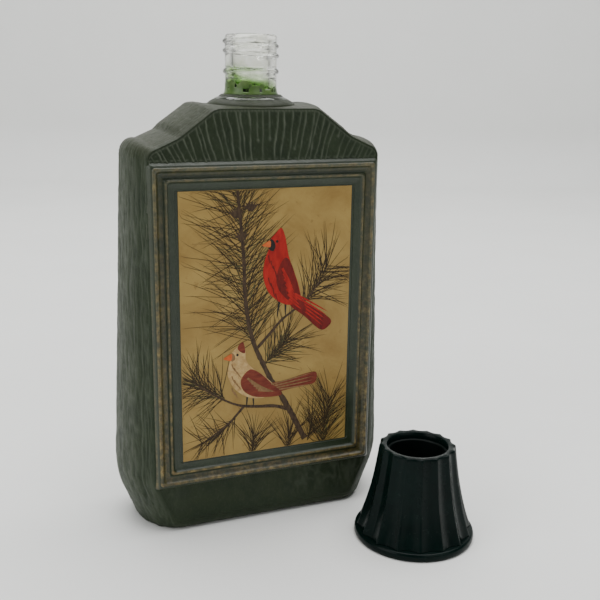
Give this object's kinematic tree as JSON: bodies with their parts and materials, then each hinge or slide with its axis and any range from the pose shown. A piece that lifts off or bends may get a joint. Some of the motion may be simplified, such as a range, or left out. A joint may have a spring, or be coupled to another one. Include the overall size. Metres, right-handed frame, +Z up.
{
  "type": "aftershave bottle",
  "caption": "Flat glass flask in a green leather-look coat with a framed bird picture, a threaded clear neck and a flared fluted screw cap standing beside it.",
  "frame": {"origin": "centre of the base's resting face", "axes": "+Z up along the neck axis, -Y out of the picture side, +X to the right of the picture"},
  "size_m": [0.1191, 0.0879, 0.1742],
  "materials": {
    "clear_glass": "clear, tinted green near the collar by the coat",
    "green_coat": "satin wrinkled leather look with rubbed antique gold on the frame",
    "picture": "printed sheet, aged, satin",
    "cap_plastic": "glossy moulded, very dark green",
    "insert_plastic": "moulded, satin",
    "liner_foam": "foamed sealing disc"
  },
  "bodies": {
    "bottle": {"glass_bottle": "clear_glass", "leather_coat": "green_coat", "picture_label": "picture"},
    "liner": {"cap_liner": "liner_foam"},
    "cap": {"cap_shell": "cap_plastic", "cap_end_disc": "cap_plastic", "cap_insert": "insert_plastic"}
  },
  "joints": [
    {"name": "cap_carry", "type": "hinge", "parent": "bottle", "child": "liner", "pos_m": [0.023, -0.0241, 0.1053], "axis": [-0.7234, -0.6904, 0], "range_deg": [0, 180]},
    {"name": "cap_screw", "type": "hinge", "parent": "liner", "child": "cap", "pos_m": [0.046, -0.0482, 0], "axis": [0, 0, 1], "range_deg": [0, 630]}
  ]
}
